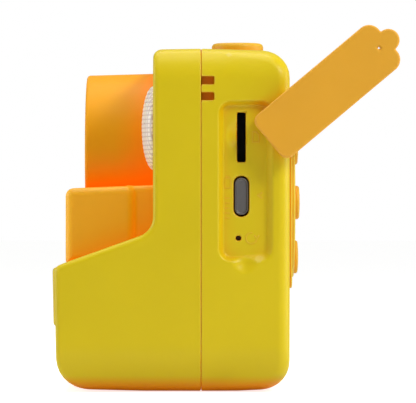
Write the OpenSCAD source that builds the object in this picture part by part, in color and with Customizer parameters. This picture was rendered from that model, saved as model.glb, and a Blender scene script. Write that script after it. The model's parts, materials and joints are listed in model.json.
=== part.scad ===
// Kids' instant-print digital camera. Millimetres, +Z up, lens facing -Y, ports on +X.
// Origin: middle of the width, on the parting line, at the flat underside.

/* [Body] */
// Width of the body, side to side
body_w = 112; // [106:1:120]
// Height of the body at the parting line
body_h = 83.2; // [82.8:0.1:84]
// Distance from the parting line back to the rear face
rear_y = 21.4; // [21.2:0.1:22]
// Thickness of the moulded shell walls
wall = 2; // [1.8:0.1:2.2]
// Corner radius of the body's upper corners, seen from the front
top_corner_r = 8; // [6:0.5:10]
// Corner radius of the body's lower corners, seen from the front
low_corner_r = 11; // [8:0.5:12]

/* [Lens barrel and beak] */
// Outside radius of the round lens barrel
barrel_r = 21; // [20:0.5:21]
// Height of the lens axis
lens_z = 58; // [57.5:0.1:58.5]
// Half the width of the beak that the prints come out of
beak_half_w = 32; // [31.8:0.1:33]
// Height of the top of the beak at its front edge
beak_top_z = 49.35; // [47.5:0.05:50]
// How far the dome over each light stands out
dome_rise = 3.1; // [2.5:0.1:4]

/* [Controls] */
// Radius of the shutter button
shutter_r = 6.4; // [5:0.1:6.6]
// How far the shutter button travels
shutter_travel = 1; // [0.6:0.1:1.2]
// Radius of each round key on the back
key_r = 4.1; // [3.4:0.1:4.3]
// Distance from the middle key to each outer key
key_pitch = 13.5; // [12.5:0.1:13.6]

/* [Port cover] */
// Length of the soft cover, from its square end to the tip of the middle lobe
flap_l = 40.2; // [38:0.1:40.4]
// Width of the soft cover
flap_w = 13; // [12.5:0.1:13.1]
// Angle the cover is swung open by at rest
flap_open = 130; // [90:1:170]

/* [Printer] */
// Outside radius of the paper roll
roll_r = 12; // [8:0.5:12]
// Width of the paper
paper_w = 57; // [50:1:57]
// Radius of the rubber platen roller
platen_r = 3.5; // [3.3:0.1:3.5]
// Gear module, the pitch diameter for each tooth
gear_m = 0.4; // [0.4:0.05:0.4]

/* [Hidden] */

$fn = 48;
eps = 0.02;           // overshoot that keeps cut faces from coinciding
fit = 0.15;           // gap round a fixed part that drops into an opening
run = 0.05;           // radial clearance of a turning or sliding part
beyond = 100;         // reach of a cutting block past the body
half_w = body_w / 2;

// Side outline: the named corners of the moulded body, in (Y, Z)
front_y = -11.6;      // flat upper front, around the lens
nose_y = -35.4;       // lower front, over the paper bay
shoulder_z = 38.9;    // where the sloped shoulder meets the upper front
nose_z = 30.4;        // where the slope meets the lower front
slope_k = (shoulder_z - nose_z) / (front_y - nose_y);
slope_drop = sqrt(1 + slope_k * slope_k) - slope_k;
nose_draft = 0.5;     // the lower front leans back by this much towards its foot
draft_top = 0.4;      // fall of the top towards its front and rear edges
draft_low = 0.6;      // rise of the underside towards its front and rear edges
flat_front = -14;     // the flat the camera stands on runs between these two
flat_back = 9;
brow_r = 2.2;         // radii of the outline's corners, from the top of the front, downwards
shoulder_r = 5;
nose_r = 2;
chin_r = 8;
rear_low_r = 7.2;
rear_top_r = 6.8;
plan_r = 2;           // radius of the four upright edges, seen from above
least_r = 0.4;

// Beak
beak_front_y = -33.7;
beak_step_y = -16.6;  // where the wide beak ends and the narrower neck begins
beak_low_z = 31;
beak_slope = 0.0385;  // rise of the top for each millimetre backwards
beak_wall = 2;
neck_half_w = 30;
neck_wall = 1;
neck_top_wall = 1.8;
slot_z = 33.4;        // height of the paper slot
slot_h = 1.4;
slot_side = 0.6;      // room at each side of the paper

// Lens group
barrel_front_y = -29.35;
barrel_wall = 2.5;
barrel_draft = 0.45;
barrel_recess = 5.95;   // depth of the barrel's front recess, where the bezel sits
spigot_r = barrel_r - 1.1;
seat_w = 1.5;         // width of the ledge behind the bezel
bezel_t = 2;
bezel_y = barrel_front_y + barrel_recess - bezel_t;
window_r = 7.4;
window_t = 1.1;
window_y = bezel_y - 0.3;
ring_r = [10.5, 13, 15.5];
holder_r = 5.5;
holder_wall = 1.3;
holder_l = 15.5;
holder_y = bezel_y + 1;
glass_r = 10;         // curvature of the lens elements
glass_y = [holder_y + 1.4, holder_y + 5.9, holder_y + 11.4];
sensor_y = -8.7;
sensor_t = 1.2;
sensor_half = 3;
sensor_board_half = 9;
dome_r = 10.4;
dome_x = 36;
dome_z = 64.2;
dome_skirt = 1.2;     // the skirt's radius is smaller than the dome's by this
light_y = -8.5;
light_board_r = 8.6;
light_half = 1.2;     // half the side of each square light
light_ring = 4;

// Shutter button
shutter_x = 28;
shutter_y = 9;
shutter_top_z = body_h + 2.3;
shutter_foot_z = body_h - 4.2;
flange_t = 1.2;       // thickness of the flange that keeps a button in its hole
flange_w = 0.6;
shutter_gap = 0.05;   // left under the button when it is fully down
tact_z = shutter_foot_z - shutter_travel - shutter_gap;
tact_r = 1.6;
shutter_board_z = 72.8;

// Keys
pad_x = 30;
pad_z = 45.85;
pad_r = 18.6;
pad_rise = 1.5;
key_face_y = rear_y + 2.6;
key_foot_y = 17;
key_board_y = 13.6;
key_board_half = 17.8;
key_spots = [[0, 0], [1, 0], [-1, 0], [0, 1], [0, -1]];
tact_half = 2.3;

// Screen, and the raised surround that frames both it and the key disc
screen_x = -19.3;
screen_z = 46.5;
screen_half = [26, 17.5];
lip_w = 2.65;         // width of the frame's lip round the screen opening
panel_w = 100;
panel_h = 43;
panel_r = 4;
panel_rise = 0.7;
window_gap = 0.1;
display_y = 16.2;
display_half = [29.5, 20.5];
display_t = 3;

// Ports, on the +X side
recess_y = 10.7;
recess_z = 50.93;
recess_w = 13.2;
recess_h = 38.75;
recess_depth = 2;
recess_r = 3;
floor_x = half_w - recess_depth;
floor_t = 2.2;
rim = 1.2;            // thicker wall round the recess
notch_r = 3.2;
notch_out = 1.75;     // the notch's centre lies this far outside the side face
port_y = 9.7;
port_deep = 5;
usb_z = 47.35;
usb_h = 8.94;
usb_t = 3.16;
usb_gap = [0.6, 0.9];
usb_l = 7.4;
usb_wall = 0.3;
usb_tongue = [0.35, 3.2];
card_z = 61.6;
card_slot = [1.05, 6.1];
card_body = [1.45, 7];
card_l = 15;
card_scoop_r = 2.9;
card_scoop_out = 1.6;
reset_y = 9;
reset_z = 37.25;
reset_r = 0.65;
pivot_y = 15.65;
pivot_z = 66.7;
flap_x = half_w + 2.4;
flap_t = 1.6;
flap_inset = 0.05;    // the shut cover's end lies this far inside the recess
flap_corner_r = 2.1;
lobe_r = 3.1;         // the two side lobes
tip_r = 2.7;          // the middle lobe, at the tip
lobe_step = 3.2;      // the side lobes lie this far behind the middle one
plug_l = 1.2;
plug_usb = [1.2, 3.9];
plug_card = [0.8, 5.4];
stud_r = 0.9;
post_foot_r = 1.35;
stud_head_r = 1.3;
strap_z = [71.42, 75.28];
strap_slot = [3.1, 1.9];

// Circuit boards, battery and sound
board_y = 11.4;
board_t = 1.2;
board_x = [-44, 51];
board_z = [14, 72];
board_holes = [[-41, 17], [-41, 69], [47, 17], [33, 69]];
spacer_r = 2.2;
head_r = 1.7;
battery_x = -48;
battery_l = 50;
battery_at = [6.4, 53];
battery_size = [6, 34];
speaker_x = -42;
speaker_y = -33;
speaker_z = 18.5;
speaker_r = 8;
speaker_t = 1.4;
magnet_r = 6;
magnet_t = 4.5;
grille_r = 0.8;
grille_ring = 4;
mic_x = -46;
mic_z = 50;
mic_r = 2;
mic_hole_r = 0.5;

// Printer
roll_y = -19.5;
roll_z = 15.2;
core_r = 5.5;
hub_r = 3.9;
hub_l = 4;
hub_gap = 0.1;
web_t = 0.1;
platen_y = roll_y + roll_r + run - platen_r;
platen_z = 29.8;
platen_end = 0.3;     // rubber past each edge of the paper
shaft_r = 1.25;
shaft_x = [-33, 35];
plate_x = 30.4;       // inner face of the printer's side plates
plate_t = 1.2;
bridge = [[4, 26.5], [9, 29]];
head_y = [-15.2, -8];
head_z = 36.1;        // top of the print head
head_half_w = 28;
ear_y = -11.3;        // the head's ears, which reach the side plates
ear_z = 34;
gear_x = 32.2;
gear_w = 2.5;
platen_teeth = 24;
idler_teeth = 30;
pinion_teeth = 12;
pressure_a = 20;
tooth_share = 0.86;   // a tooth's share of half a pitch; the rest is backlash
idler_a = -25;        // direction from the platen to the idler
motor_a = -60;        // direction from the idler to the motor
idler_d = gear_m * (platen_teeth + idler_teeth) / 2;
motor_d = gear_m * (idler_teeth + pinion_teeth) / 2;
idler_y = platen_y + idler_d * cos(idler_a);
idler_z = platen_z + idler_d * sin(idler_a);
motor_y = idler_y + motor_d * cos(motor_a);
motor_z = idler_z + motor_d * sin(motor_a);
motor_x = 14;
motor_r = 6.5;
motor_l = 15;
boss_r = 1.55;
boss_l = 1;
idler_axle_r = 1;
motor_shaft_r = 0.75;
// Each gear's turn that puts its teeth in the gaps of the gear before it
idler_phase = idler_a + 180 + (idler_a * platen_teeth + 180) / idler_teeth;
pinion_phase = motor_a + 180 + ((motor_a - idler_phase) * idler_teeth + 180) / pinion_teeth;
cradle_x = 29;
cradle_t = 1.2;
cradle_floor = [[-23, 2.4], [-6.4, 3.1]];

// Paper door
door_half_w = 31;
door_low_z = 3.4;
door_top_z = 30.6;
door_back_y = -29.6;
door_pad_z = 14.9;    // lower edge of the door's raised pad
door_pad = 1.7;
door_pad_inset = 2;
door_gap_z = 2.8;     // lower edge of the opening that the door covers
door_gap_y = -26.5;
hinge_y = -31.4;
hinge_z = 6.1;
hinge_pin_r = 0.8;
hinge_pin_l = 8;
hinge_end = 34;       // outer ends of the hinge pins
knuckle_r = 2.2;
knuckle_l = 6;
boss_gap = 0.4;       // between a knuckle and the shell's boss beside it
boss_w = 3.6;

screw_spots = [[46, 76.5], [-46, 76.5], [49, 9], [-49, 9]];
screw_r = 1;
screw_l = 9;
screw_tip_y = -7;
screw_head_r = 1.9;
screw_head_t = 1.6;
socket_r = 0.7;
sink_r = 2.1;
sink_y = 2;           // floor of the sunk holes for the screw heads
post_r = 3;

yellow = [0.93, 0.79, 0.2];
orange = [0.93, 0.6, 0.15];
black = [0.12, 0.12, 0.13];
steel = [0.72, 0.72, 0.74];
green = [0.1, 0.36, 0.2];

// ---- helpers ----

// Places a (Y, Z) outline so that it is extruded along +X from x
module along_x(x) translate([x, 0, 0]) rotate([90, 0, 90]) children();

// Places an (X, Z) outline so that it is extruded along +Y from y
module along_y(y) translate([0, y, 0]) rotate([90, 0, 0]) mirror([0, 0, 1]) children();

// A box between two corners
module block(low, high) translate(low) cube(high - low);

// A cylinder along X or along Y from a point
module rod_x(p, r, l) along_x(p[0]) translate([p[1], p[2]]) cylinder(r = r, h = l);
module rod_y(p, r, l) along_y(p[1]) translate([p[0], p[2]]) cylinder(r = r, h = l);

function unit(v) = v / norm(v);

// Points of one corner [x, y, r] of an outline, rounded with true tangents
function round_corner(a, b, c, steps = 8) =
    b[2] == 0 ? [[b[0], b[1]]] :
    let (p = [b[0], b[1]], u = unit([a[0], a[1]] - p), v = unit([c[0], c[1]] - p),
        half = acos(u * v) / 2, centre = p + unit(u + v) * b[2] / sin(half),
        s = p + u * b[2] / tan(half) - centre, e = p + v * b[2] / tan(half) - centre,
        a0 = atan2(s[1], s[0]), turn = atan2(e[1], e[0]) - a0,
        sweep = turn > 180 ? turn - 360 : turn < -180 ? turn + 360 : turn)
    [for (i = [0:steps]) centre + b[2] * [cos(a0 + sweep * i / steps), sin(a0 + sweep * i / steps)]];

// A whole outline of [x, y, r] corners
function rounded(pts) = let (n = len(pts))
    [for (i = [0:n - 1]) each round_corner(pts[(i + n - 1) % n], pts[i], pts[(i + 1) % n])];

function rect_points(w, h, r) = rounded([[w / 2, h / 2, r], [-w / 2, h / 2, r],
    [-w / 2, -h / 2, r], [w / 2, -h / 2, r]]);

// The height of the beak's sloping top
function beak_top(y) = beak_top_z + beak_slope * (y - beak_front_y);

// The body's side outline, drawn in by d
function side_points(d) = rounded([
    [front_y + d, body_h - draft_top / 2 - d, max(brow_r - d, least_r)],
    [front_y + d, shoulder_z - slope_drop * d, shoulder_r + d],
    [nose_y + d, nose_z - slope_drop * d, max(nose_r - d, least_r)],
    [nose_y + nose_draft + d, draft_low + d, chin_r - d],
    [flat_front, d, 0],
    [flat_back, d, 0],
    [rear_y - d, draft_low + d, rear_low_r - d],
    [rear_y - d, body_h - draft_low - d, rear_top_r - d],
    [0, body_h - d, 0]]);

// The body's front outline, drawn in by d
function front_points(d) = rounded([
    [half_w - d, body_h - d, top_corner_r - d],
    [-half_w + d, body_h - d, top_corner_r - d],
    [-half_w + d, d, low_corner_r - d],
    [half_w - d, d, low_corner_r - d]]);

// The closed body, drawn in by d
module body(d) intersection() {
    along_x(-half_w + d) linear_extrude(body_w - 2 * d) polygon(side_points(d));
    along_y(nose_y - 1) linear_extrude(rear_y - nose_y + 2) polygon(front_points(d));
    translate([0, (nose_y + rear_y) / 2, -1]) linear_extrude(body_h + 2)
        polygon(rect_points(body_w - 2 * d, rear_y - nose_y - 2 * d, max(plan_r - d, least_r)));
}

// The part of the closed shell wall between two values of Y
module shell_half(low, high) difference() {
    intersection() {
        body(0);
        block([-beyond, low, -1], [beyond, high, beyond]);
    }
    intersection() {
        body(wall);
        block([-beyond, low - 1, -1], [beyond, high + 1, beyond]);
    }
}

// Involute gear in (Y, Z), tooth 0 pointing along the local first axis
function inv_deg(r, base) = r <= base ? 0 : sqrt(r * r / (base * base) - 1) * 180 / PI
    - acos(base / r);
function polar(r, a) = [r * cos(a), r * sin(a)];
function gear_points(n) = let (
    pitch_r = gear_m * n / 2, base = pitch_r * cos(pressure_a), root = pitch_r - 1.2 * gear_m,
    tip = pitch_r + 0.9 * gear_m, half = 90 / n * tooth_share + inv_deg(pitch_r, base),
    flank = [max(base, root), pitch_r, pitch_r + 0.45 * gear_m, tip])
    [for (i = [0:n - 1]) let (a = 360 * i / n) each concat(
        [polar(root, a - 180 / n), polar(root, a - half)],
        [for (r = flank) polar(r, a - half + inv_deg(r, base))],
        [for (k = [3:-1:0]) polar(flank[k], a + half - inv_deg(flank[k], base))],
        [polar(root, a + half)])];

module gear(n, y, z, phase, bore_r) along_x(gear_x) translate([y, z]) difference() {
    rotate(phase) linear_extrude(gear_w) polygon(gear_points(n));
    translate([0, 0, -1]) cylinder(r = bore_r, h = gear_w + 2);
}

// ---- casing ----

module front_shell() color(yellow) difference() {
    union() {
        shell_half(-beyond, 0);
        for (s = screw_spots) intersection() {
            rod_y([s[0], nose_y, s[1]], post_r, -nose_y);
            body(wall / 2);
        }
        for (x = [-door_half_w - boss_gap - boss_w, door_half_w + boss_gap]) intersection() {
            rod_x([x, hinge_y, hinge_z], knuckle_r + 0.2, boss_w);
            body(wall / 4);
        }
    }
    // round opening for the barrel's spigot
    rod_y([0, front_y - 1, lens_z], spigot_r + fit, wall + 2);
    // openings for the light domes
    for (x = [-dome_x, dome_x]) rod_y([x, front_y - 1, dome_z], dome_r - dome_skirt + fit, wall + 2);
    // room for the beak and its neck
    block([-beak_half_w - fit, -beyond, beak_low_z - fit], [beak_half_w + fit, beak_step_y + fit, lens_z]);
    block([-neck_half_w - fit, beak_step_y - 1, beak_low_z - fit], [neck_half_w + fit, front_y, lens_z]);
    // opening behind the paper door
    block([-door_half_w - fit, -beyond, door_gap_z], [door_half_w + fit, door_gap_y, beak_low_z]);
    // hinge pin holes
    rod_x([-hinge_end, hinge_y, hinge_z], hinge_pin_r, 2 * hinge_end);
    // screw pilot holes
    for (s = screw_spots) rod_y([s[0], screw_tip_y, s[1]], screw_r, 1 - screw_tip_y);
    // speaker grille
    for (i = [0:6]) let (r = i == 0 ? 0 : grille_ring)
        rod_y([speaker_x + r * cos(60 * i), nose_y - 1, speaker_z + r * sin(60 * i)], grille_r, wall + 2);
    // microphone hole
    rod_y([mic_x, front_y - 1, mic_z], mic_hole_r, wall + 2);
}

module recess_cut() union() {
    // shallow pocket that the cover closes
    along_x(floor_x) translate([recess_y, recess_z]) linear_extrude(recess_depth + 1)
        polygon(rect_points(recess_w, recess_h, recess_r));
    // finger notch under the cover's middle lobe
    translate([half_w + notch_out, recess_y, recess_z - recess_h / 2]) sphere(r = notch_r);
    // memory card slot and its thumb scoop
    block([floor_x - port_deep, port_y - card_slot[0], card_z - card_slot[1]],
        [floor_x + 1, port_y + card_slot[0], card_z + card_slot[1]]);
    translate([floor_x + card_scoop_out, port_y - card_slot[0], card_z]) sphere(r = card_scoop_r);
    // charging port opening
    along_x(floor_x - port_deep) translate([port_y, usb_z]) linear_extrude(port_deep + 1)
        polygon(rect_points(usb_t + usb_gap[0], usb_h + usb_gap[1], usb_t / 2));
    // reset hole, and the hole for the cover's stud
    rod_x([floor_x - port_deep, reset_y, reset_z], reset_r, port_deep + 1);
    rod_x([floor_x - port_deep, pivot_y, pivot_z], stud_r + run, port_deep + 1);
}

module rear_shell() color(yellow) difference() {
    union() {
        shell_half(0, beyond);
        // thicker wall behind the port recess
        block([floor_x - floor_t, recess_y - recess_w / 2 - rim, recess_z - recess_h / 2 - rim],
            [half_w - 1, recess_y + recess_w / 2 + rim, recess_z + recess_h / 2 + rim]);
        // raised disc round the keys
        rod_y([pad_x, rear_y - wall, pad_z], pad_r, wall + pad_rise);
        // screw posts
        for (s = screw_spots) intersection() {
            rod_y([s[0], 0, s[1]], post_r, rear_y);
            body(wall / 2);
        }
    }
    recess_cut();
    // key holes
    for (d = key_spots) rod_y([pad_x + key_pitch * d[0], rear_y - wall - 1, pad_z + key_pitch * d[1]],
        key_r + 2 * run, wall + pad_rise + 2);
    // opening for the screen frame
    frame_block([fit, fit], [rear_y - wall - 1, rear_y + 1]);
    // shutter hole
    translate([shutter_x, shutter_y, shutter_foot_z]) cylinder(r = shutter_r + 2 * run, h = 2 * wall + 2);
    // strap slots on both sides
    for (x = [-half_w - 1, half_w - wall - 1], z = strap_z)
        block([x, 0, z - strap_slot[1] / 2], [x + wall + 2, strap_slot[0], z + strap_slot[1] / 2]);
    // screw holes and their sunk heads
    for (s = screw_spots) {
        rod_y([s[0], -1, s[1]], screw_r, sink_y + 2);
        rod_y([s[0], sink_y, s[1]], sink_r, rear_y);
    }
}

module beak() color(orange) difference() {
    union() {
        along_x(-beak_half_w) linear_extrude(2 * beak_half_w) polygon(rounded([
            [beak_front_y, beak_top(beak_front_y), 2], [beak_front_y, beak_low_z, 0],
            [beak_step_y, beak_low_z, 0], [beak_step_y, beak_top(beak_step_y), 2]]));
        along_x(-neck_half_w) linear_extrude(2 * neck_half_w) polygon([
            [beak_step_y - wall, beak_low_z], [front_y, beak_low_z],
            [front_y, beak_top(front_y)], [beak_step_y - wall, beak_top(beak_step_y - wall)]]);
    }
    // hollow inside, open at the back
    block([-neck_half_w + neck_wall, beak_front_y + beak_wall, beak_low_z + 1.2],
        [neck_half_w - neck_wall, front_y + 1, beak_top_z - neck_top_wall]);
    // no floor in the neck, where the paper comes up
    block([-neck_half_w + neck_wall, beak_step_y + 0.1, beak_low_z - 1],
        [neck_half_w - neck_wall, front_y + 1, slot_z]);
    // paper slot
    block([-paper_w / 2 - slot_side, beak_front_y - 1, slot_z - slot_h / 2],
        [paper_w / 2 + slot_side, beak_front_y + beak_wall + 1, slot_z + slot_h / 2]);
    // saddle for the barrel
    rod_y([0, beak_front_y - 1, lens_z], barrel_r + fit, front_y - beak_front_y + 2);
}

module paper_door() color(yellow) difference() {
    union() {
        intersection() {
            difference() {
                union() {
                    body(0);
                    // raised pad
                    translate([0, -door_pad, 0]) intersection() {
                        body(0);
                        block([-door_half_w + door_pad_inset, -beyond, door_pad_z],
                            [door_half_w - door_pad_inset, door_back_y, beyond]);
                    }
                }
                body(wall);
            }
            block([-door_half_w, -beyond, door_low_z], [door_half_w, door_back_y, door_top_z]);
        }
        // hinge knuckles
        for (x = [-door_half_w, door_half_w - knuckle_l])
            rod_x([x, hinge_y, hinge_z], knuckle_r, knuckle_l);
    }
    rod_x([-door_half_w - 1, hinge_y, hinge_z], hinge_pin_r + run, 2 * door_half_w + 2);
}

module door_hinge_pins() color(steel) for (x = [-hinge_end, hinge_end - hinge_pin_l])
    rod_x([x, hinge_y, hinge_z], hinge_pin_r, hinge_pin_l);

module shell_screws() color(steel) for (s = screw_spots) {
    rod_y([s[0], screw_tip_y, s[1]], screw_r, screw_l);
    difference() {
        rod_y([s[0], sink_y, s[1]], screw_head_r, screw_head_t);
        rod_y([s[0], sink_y + screw_head_t / 2, s[1]], socket_r, screw_head_t, $fn = 6);
    }
}

// ---- lens and lights ----

module lens_barrel() color(orange) difference() {
    union() {
        translate([0, barrel_front_y, lens_z]) rotate([-90, 0, 0]) rotate_extrude()
            polygon(rounded([[0, 0, 0], [barrel_r - barrel_draft, 0, 0.8],
                [barrel_r, front_y - barrel_front_y, 0], [0, front_y - barrel_front_y, 0]]));
        rod_y([0, front_y - 1, lens_z], spigot_r, wall + 1.8);
    }
    // deep front recess that the bezel sits in
    rod_y([0, barrel_front_y - 1, lens_z], barrel_r - barrel_wall, barrel_recess + 1);
    // hollow behind the bezel's seat
    rod_y([0, barrel_front_y, lens_z], barrel_r - barrel_wall - seat_w, -barrel_front_y);
}

module lens_bezel() color(black) difference() {
    rod_y([0, bezel_y, lens_z], barrel_r - barrel_wall, bezel_t);
    rod_y([0, bezel_y - 1, lens_z], window_r + window_gap, window_y + window_t - bezel_y + 1);
    rod_y([0, bezel_y - 1, lens_z], holder_r + fit, bezel_t + 2);
    // grooves round the window
    for (r = ring_r) difference() {
        rod_y([0, bezel_y - 1, lens_z], r + 0.5, 1.3);
        rod_y([0, bezel_y - 2, lens_z], r - 0.5, 3);
    }
}

module lens_window() color([0.7, 0.8, 0.9, 0.4]) rod_y([0, window_y, lens_z], window_r, window_t);

module lens_holder() color(black) difference() {
    rod_y([0, holder_y, lens_z], holder_r, holder_l);
    rod_y([0, holder_y - 1, lens_z], holder_r - holder_wall, holder_l + 2);
}

module lens_elements() color([0.6, 0.75, 0.85, 0.5]) for (y = glass_y)
    translate([0, y, lens_z]) intersection() {
        translate([0, glass_r - 1, 0]) sphere(r = glass_r);
        rotate([-90, 0, 0]) translate([0, 0, -2]) cylinder(r = holder_r - holder_wall, h = 3.4);
    }

module image_sensor() color([0.2, 0.22, 0.3])
    block([-sensor_half - 0.5, sensor_y, lens_z - sensor_half],
        [sensor_half + 0.5, sensor_y + sensor_t, lens_z + sensor_half]);

module sensor_board() color(green)
    block([-sensor_board_half, sensor_y + sensor_t, lens_z - sensor_board_half],
        [sensor_board_half, sensor_y + sensor_t + 1, lens_z + sensor_board_half]);

// Ribbed translucent cap, with a short skirt that fits through the shell
module eye_dome(x) color([0.93, 0.88, 0.8]) difference() {
    union() {
        translate([x, front_y, dome_z]) rotate([90, 0, 0]) rotate_extrude() polygon(concat([[0, 0]],
            [for (i = [0:10]) [dome_r * cos(9 * i), dome_rise * sin(9 * i)]]));
        rod_y([x, front_y - eps, dome_z], dome_r - dome_skirt, wall + 1);
    }
    rod_y([x, front_y - 1, dome_z], dome_r - 2 * dome_skirt, wall + 3);
}
module eye_dome_port_side() eye_dome(dome_x);
module eye_dome_grip_side() eye_dome(-dome_x);

module eye_light_board(x) {
    color(green) rod_y([x, light_y, dome_z], light_board_r, 1);
    color([1, 0.95, 0.7]) for (a = [0:120:359]) let (p = [x, 0, dome_z] + light_ring * [cos(a), 0, sin(a)])
        block(p + [-light_half, light_y - light_half, -light_half],
            p + [light_half, light_y + eps, light_half]);
}
module eye_light_board_port_side() eye_light_board(dome_x);
module eye_light_board_grip_side() eye_light_board(-dome_x);

// ---- controls ----

// Outline of a round button with a flange at its foot
function button_points(r, foot, face, edge_r) = rounded([[0, foot, 0], [r + flange_w, foot, 0],
    [r + flange_w, foot + flange_t, 0], [r, foot + flange_t, 0], [r, face, edge_r], [0, face, 0]]);

module shutter_button() color(orange) translate([shutter_x, shutter_y, 0]) rotate_extrude()
    polygon(button_points(shutter_r, shutter_foot_z, shutter_top_z, 1));

module shutter_switch() color(black) union() {
    block([shutter_x - 3, shutter_y - 3, shutter_board_z + board_t],
        [shutter_x + 3, shutter_y + 3, tact_z - 0.8]);
    translate([shutter_x, shutter_y, tact_z - 1]) cylinder(r = tact_r, h = 1);
}

module shutter_board() color(green) block([shutter_x - 9, shutter_y - 5.5, shutter_board_z],
    [shutter_x + 9, shutter_y + 2.2, shutter_board_z + board_t]);

module key(dx, dz) color(orange) translate([pad_x + key_pitch * dx, 0, pad_z + key_pitch * dz])
    rotate([-90, 0, 0]) rotate_extrude() polygon(button_points(key_r, key_foot_y, key_face_y, 0.6));
module key_up() key(0, 1);
module key_down() key(0, -1);
module key_left() key(1, 0);
module key_right() key(-1, 0);
module key_ok() key(0, 0);

module key_board() color(green) block([pad_x - key_board_half, key_board_y, pad_z - key_board_half],
    [pad_x + key_board_half, key_board_y + board_t, pad_z + key_board_half]);

module key_switches() color(steel) for (d = key_spots)
    translate([pad_x + key_pitch * d[0], key_board_y + board_t, pad_z + key_pitch * d[1]]) union() {
        block([-tact_half, 0, -tact_half], [tact_half, 1, tact_half]);
        rod_y([0, 0.9, 0], tact_half / 2, 0.6);
    }

// ---- screen ----

// A block round the screen opening, wider than it by the frame's lip and by gap
module frame_block(gap, ys) block(
    [screen_x - screen_half[0] - lip_w - gap[0], ys[0], screen_z - screen_half[1] - lip_w - gap[1]],
    [screen_x + screen_half[0] + lip_w + gap[0], ys[1], screen_z + screen_half[1] + lip_w + gap[1]]);

module screen_frame() color(yellow) difference() {
    union() {
        along_y(rear_y) translate([0, screen_z]) linear_extrude(panel_rise)
            polygon(rect_points(panel_w, panel_h, panel_r));
        frame_block([0, 0], [rear_y - wall, rear_y + eps]);
    }
    rod_y([pad_x, rear_y - eps, pad_z], pad_r + fit, panel_rise + 1);
    block([screen_x - screen_half[0], rear_y - wall - 1, screen_z - screen_half[1]],
        [screen_x + screen_half[0], rear_y + 1, screen_z + screen_half[1]]);
}

module screen_window() color([0.08, 0.08, 0.1]) block(
    [screen_x - screen_half[0] + window_gap, rear_y - 1, screen_z - screen_half[1] + window_gap],
    [screen_x + screen_half[0] - window_gap, rear_y + 0.4, screen_z + screen_half[1] - window_gap]);

module display_module() color([0.25, 0.26, 0.3]) union() {
    block([screen_x - display_half[0], display_y, screen_z - display_half[1]],
        [screen_x + display_half[0], display_y + display_t, screen_z + display_half[1]]);
    block([screen_x - screen_half[0] + 0.5, display_y + display_t - 0.2, screen_z - screen_half[1] + 0.5],
        [screen_x + screen_half[0] - 0.5, rear_y - 1.1, screen_z + screen_half[1] - 0.5]);
}

// ---- electronics ----

module main_board() color(green) difference() {
    block([board_x[0], board_y, board_z[0]], [board_x[1], board_y + board_t, board_z[1]]);
    for (s = board_holes) rod_y([s[0], board_y - 1, s[1]], screw_r, board_t + 2);
}

// Each spacer reaches back to the shell, or to the display where that is in the way
module board_spacers() color(steel) for (s = board_holes) difference() {
    rod_y([s[0], board_y + board_t, s[1]], spacer_r,
        (s[1] > screen_z && s[0] < 0 ? display_y : rear_y - wall) - board_y - board_t);
    rod_y([s[0], board_y, s[1]], screw_r, 4.6);
}

module board_screws() color(steel) for (s = board_holes) union() {
    rod_y([s[0], board_y - eps, s[1]], screw_r, 4);
    rod_y([s[0], board_y - 1, s[1]], head_r, 1);
}

module processor() color(black) union() {
    block([-10, board_y - 1.2, 42], [4, board_y, 56]);
    block([10, board_y - 1.1, 46], [20, board_y, 54]);
}

module usb_c_socket() color(steel) difference() {
    along_x(floor_x - usb_l - 0.1) translate([port_y, usb_z]) linear_extrude(usb_l)
        polygon(rect_points(usb_t, usb_h, usb_t / 2 - eps));
    // the mouth, with the tongue left standing in it
    difference() {
        along_x(floor_x - usb_l + 1.4) translate([port_y, usb_z]) linear_extrude(usb_l)
            polygon(rect_points(usb_t - 2 * usb_wall, usb_h - 2 * usb_wall, usb_t / 2 - usb_wall - eps));
        block([floor_x - usb_l, port_y - usb_tongue[0], usb_z - usb_tongue[1]],
            [floor_x - 1, port_y + usb_tongue[0], usb_z + usb_tongue[1]]);
    }
}

module card_socket() color(black) difference() {
    block([floor_x - floor_t - card_l, port_y - card_body[0], card_z - card_body[1]],
        [floor_x - floor_t, port_y + card_body[0], card_z + card_body[1]]);
    block([floor_x - floor_t - card_l + 2, port_y - card_slot[0], card_z - card_slot[1]],
        [floor_x, port_y + card_slot[0], card_z + card_slot[1]]);
}

module reset_switch() color(black) union() {
    block([floor_x - floor_t - 4, reset_y - 1.5, reset_z - 2.2],
        [floor_x - floor_t - 1, board_y, reset_z + 2.2]);
    rod_x([floor_x - floor_t - 1.1, reset_y, reset_z], 0.5, 0.9);
}

module battery() color([0.35, 0.37, 0.42]) along_x(battery_x) linear_extrude(battery_l)
    translate(battery_at) polygon(rect_points(battery_size[0], battery_size[1], 2));

module speaker() color(black) union() {
    rod_y([speaker_x, speaker_y, speaker_z], speaker_r, speaker_t);
    rod_y([speaker_x, speaker_y + 1, speaker_z], magnet_r, magnet_t);
}

module microphone() color(steel) rod_y([mic_x, front_y + wall, mic_z], mic_r, 1.8);

// ---- soft port cover, made shut and then swung open about its stud ----

// A strip with one square end, and three lobes at the other end
module flap_outline() {
    side_x = flap_w / 2 - lobe_r;
    tip_z = -flap_l + tip_r;
    polygon(rounded([[-flap_w / 2, 0, flap_corner_r], [-flap_w / 2, tip_z + lobe_step, 0],
        [-side_x, tip_z + lobe_step, 0], [0, tip_z, 0], [side_x, tip_z + lobe_step, 0],
        [flap_w / 2, tip_z + lobe_step, 0], [flap_w / 2, 0, flap_corner_r]]));
    for (x = [-side_x, side_x]) translate([x, tip_z + lobe_step]) circle(r = lobe_r);
    translate([0, tip_z]) circle(r = tip_r);
}

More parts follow.
